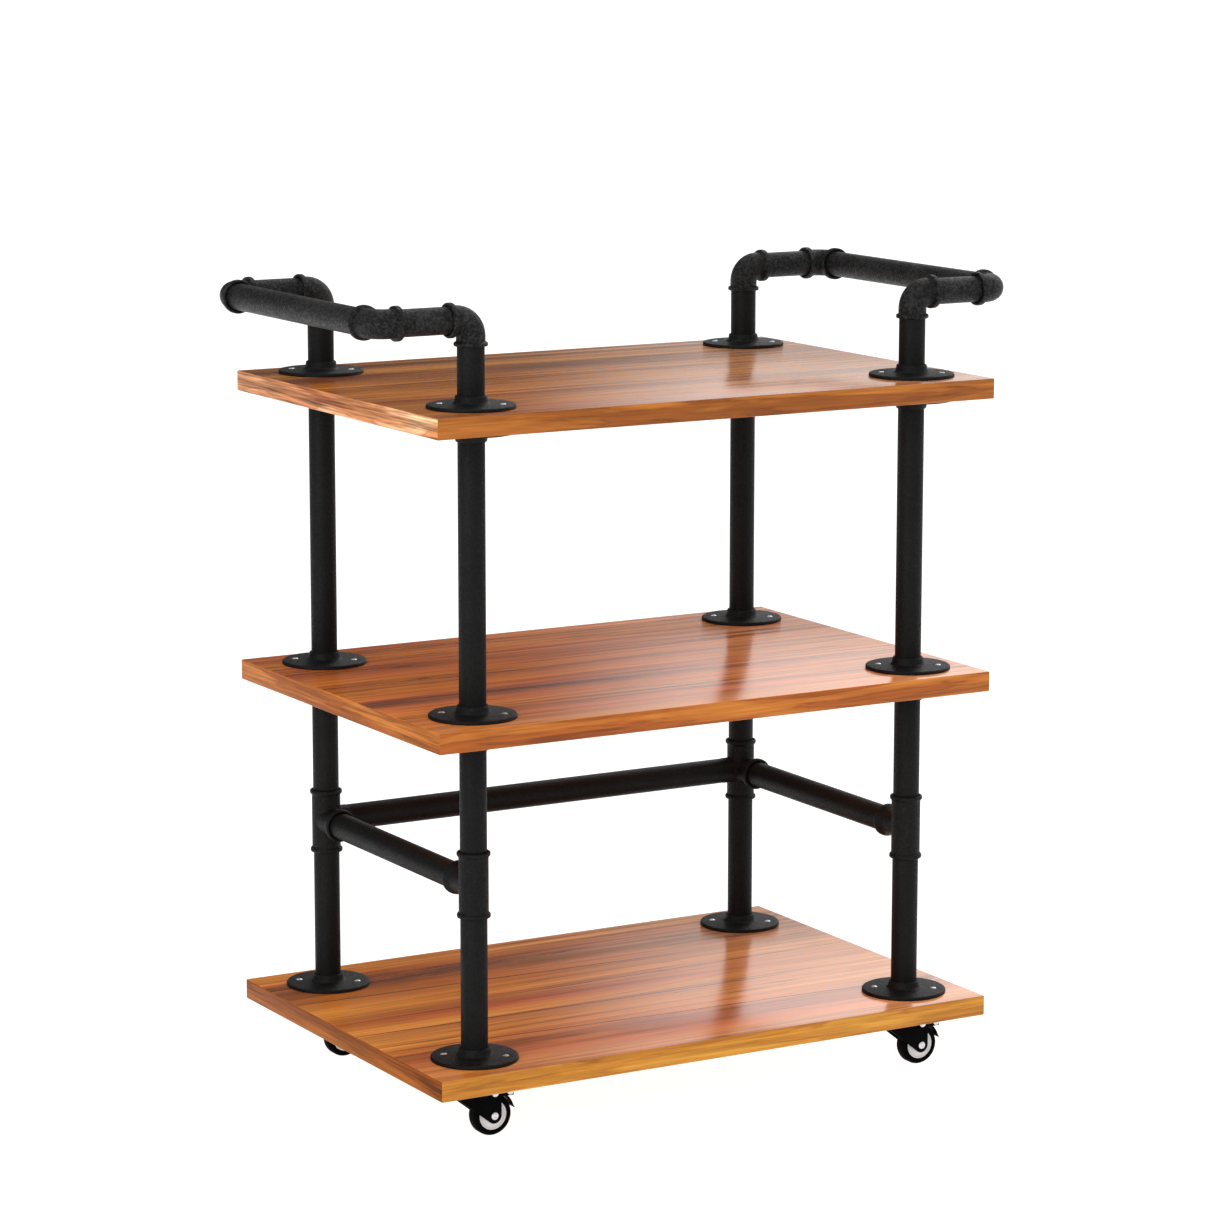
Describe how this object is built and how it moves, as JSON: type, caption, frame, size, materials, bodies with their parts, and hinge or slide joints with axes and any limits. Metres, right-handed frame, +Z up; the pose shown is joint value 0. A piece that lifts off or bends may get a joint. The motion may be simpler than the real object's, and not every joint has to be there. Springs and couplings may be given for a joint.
{
  "type": "bar cart on wheels",
  "caption": "Bar cart with lacquered wooden shelves on black pipe posts, pipe handles over both ends and swivelling braked casters.",
  "frame": {"origin": "on the floor under the middle of the pipework, where the wheels stand", "axes": "+X along the long side towards the right-hand end, +Y from the front to the back, +Z up"},
  "size_m": [0.7432, 0.441, 0.8231],
  "materials": {
    "lacquered_wood": "glossy clear lacquer over red-brown and ochre staves",
    "black_pipe": "black powder coat, satin, with a fine cast texture on the fittings",
    "black_steel": "black electrocoat, semi-gloss",
    "black_tyre": "matte black tread on a moulded wheel"
  },
  "bodies": {
    "cart_frame": {"bottom_shelf": "lacquered_wood", "middle_shelf": "lacquered_wood", "top_shelf": "lacquered_wood", "bottom_flange_front_left": "black_pipe", "middle_flange_front_left": "black_pipe", "top_flange_front_left": "black_pipe", "lower_post_front_left": "black_pipe", "middle_post_front_left": "black_pipe", "upper_post_front_left": "black_pipe", "tee_front_left": "black_pipe", "handle_riser_front_left": "black_pipe", "handle_corner_front_left": "black_pipe", "caster_plate_front_left": "black_steel", "bottom_flange_front_right": "black_pipe", "middle_flange_front_right": "black_pipe", "top_flange_front_right": "black_pipe", "lower_post_front_right": "black_pipe", "middle_post_front_right": "black_pipe", "upper_post_front_right": "black_pipe", "tee_front_right": "black_pipe", "handle_riser_front_right": "black_pipe", "handle_corner_front_right": "black_pipe", "caster_plate_front_right": "black_steel", "bottom_flange_back_left": "black_pipe", "middle_flange_back_left": "black_pipe", "top_flange_back_left": "black_pipe", "lower_post_back_left": "black_pipe", "middle_post_back_left": "black_pipe", "upper_post_back_left": "black_pipe", "tee_back_left": "black_pipe", "handle_riser_back_left": "black_pipe", "handle_corner_back_left": "black_pipe", "caster_plate_back_left": "black_steel", "bottom_flange_back_right": "black_pipe", "middle_flange_back_right": "black_pipe", "top_flange_back_right": "black_pipe", "lower_post_back_right": "black_pipe", "middle_post_back_right": "black_pipe", "upper_post_back_right": "black_pipe", "tee_back_right": "black_pipe", "handle_riser_back_right": "black_pipe", "handle_corner_back_right": "black_pipe", "caster_plate_back_right": "black_steel", "left_rail": "black_pipe", "right_rail": "black_pipe", "back_rail": "black_pipe", "left_handle_bar": "black_pipe", "right_handle_bar": "black_pipe"},
    "fork_front_left": {"caster_fork_front_left": "black_steel"},
    "wheel_front_left": {"caster_wheel_front_left": "black_tyre"},
    "brake_front_left": {"caster_brake_front_left": "black_steel"},
    "fork_front_right": {"caster_fork_front_right": "black_steel"},
    "wheel_front_right": {"caster_wheel_front_right": "black_tyre"},
    "brake_front_right": {"caster_brake_front_right": "black_steel"},
    "fork_back_left": {"caster_fork_back_left": "black_steel"},
    "wheel_back_left": {"caster_wheel_back_left": "black_tyre"},
    "brake_back_left": {"caster_brake_back_left": "black_steel"},
    "fork_back_right": {"caster_fork_back_right": "black_steel"},
    "wheel_back_right": {"caster_wheel_back_right": "black_tyre"},
    "brake_back_right": {"caster_brake_back_right": "black_steel"}
  },
  "joints": [
    {"name": "swivel_front_left", "type": "hinge", "parent": "cart_frame", "child": "fork_front_left", "pos_m": [-0.2528, -0.1619, 0.0516], "axis": [0, 0, 1], "continuous": true},
    {"name": "wheel_spin_front_left", "type": "hinge", "parent": "fork_front_left", "child": "wheel_front_left", "pos_m": [-0.2362, -0.1619, 0.021], "axis": [0, 1, 0], "continuous": true},
    {"name": "brake_pedal_front_left", "type": "hinge", "parent": "fork_front_left", "child": "brake_front_left", "pos_m": [-0.2362, -0.1619, 0.0444], "axis": [0, 1, 0], "range_deg": [0, 3]},
    {"name": "swivel_front_right", "type": "hinge", "parent": "cart_frame", "child": "fork_front_right", "pos_m": [0.2528, -0.1619, 0.0516], "axis": [0, 0, 1], "continuous": true},
    {"name": "wheel_spin_front_right", "type": "hinge", "parent": "fork_front_right", "child": "wheel_front_right", "pos_m": [0.2694, -0.1619, 0.021], "axis": [0, 1, 0], "continuous": true},
    {"name": "brake_pedal_front_right", "type": "hinge", "parent": "fork_front_right", "child": "brake_front_right", "pos_m": [0.2694, -0.1619, 0.0444], "axis": [0, 1, 0], "range_deg": [0, 3]},
    {"name": "swivel_back_left", "type": "hinge", "parent": "cart_frame", "child": "fork_back_left", "pos_m": [-0.2528, 0.1619, 0.0516], "axis": [0, 0, 1], "continuous": true},
    {"name": "wheel_spin_back_left", "type": "hinge", "parent": "fork_back_left", "child": "wheel_back_left", "pos_m": [-0.2362, 0.1619, 0.021], "axis": [0, 1, 0], "continuous": true},
    {"name": "brake_pedal_back_left", "type": "hinge", "parent": "fork_back_left", "child": "brake_back_left", "pos_m": [-0.2362, 0.1619, 0.0444], "axis": [0, 1, 0], "range_deg": [0, 3]},
    {"name": "swivel_back_right", "type": "hinge", "parent": "cart_frame", "child": "fork_back_right", "pos_m": [0.2528, 0.1619, 0.0516], "axis": [0, 0, 1], "continuous": true},
    {"name": "wheel_spin_back_right", "type": "hinge", "parent": "fork_back_right", "child": "wheel_back_right", "pos_m": [0.2694, 0.1619, 0.021], "axis": [0, 1, 0], "continuous": true},
    {"name": "brake_pedal_back_right", "type": "hinge", "parent": "fork_back_right", "child": "brake_back_right", "pos_m": [0.2694, 0.1619, 0.0444], "axis": [0, 1, 0], "range_deg": [0, 3]}
  ]
}
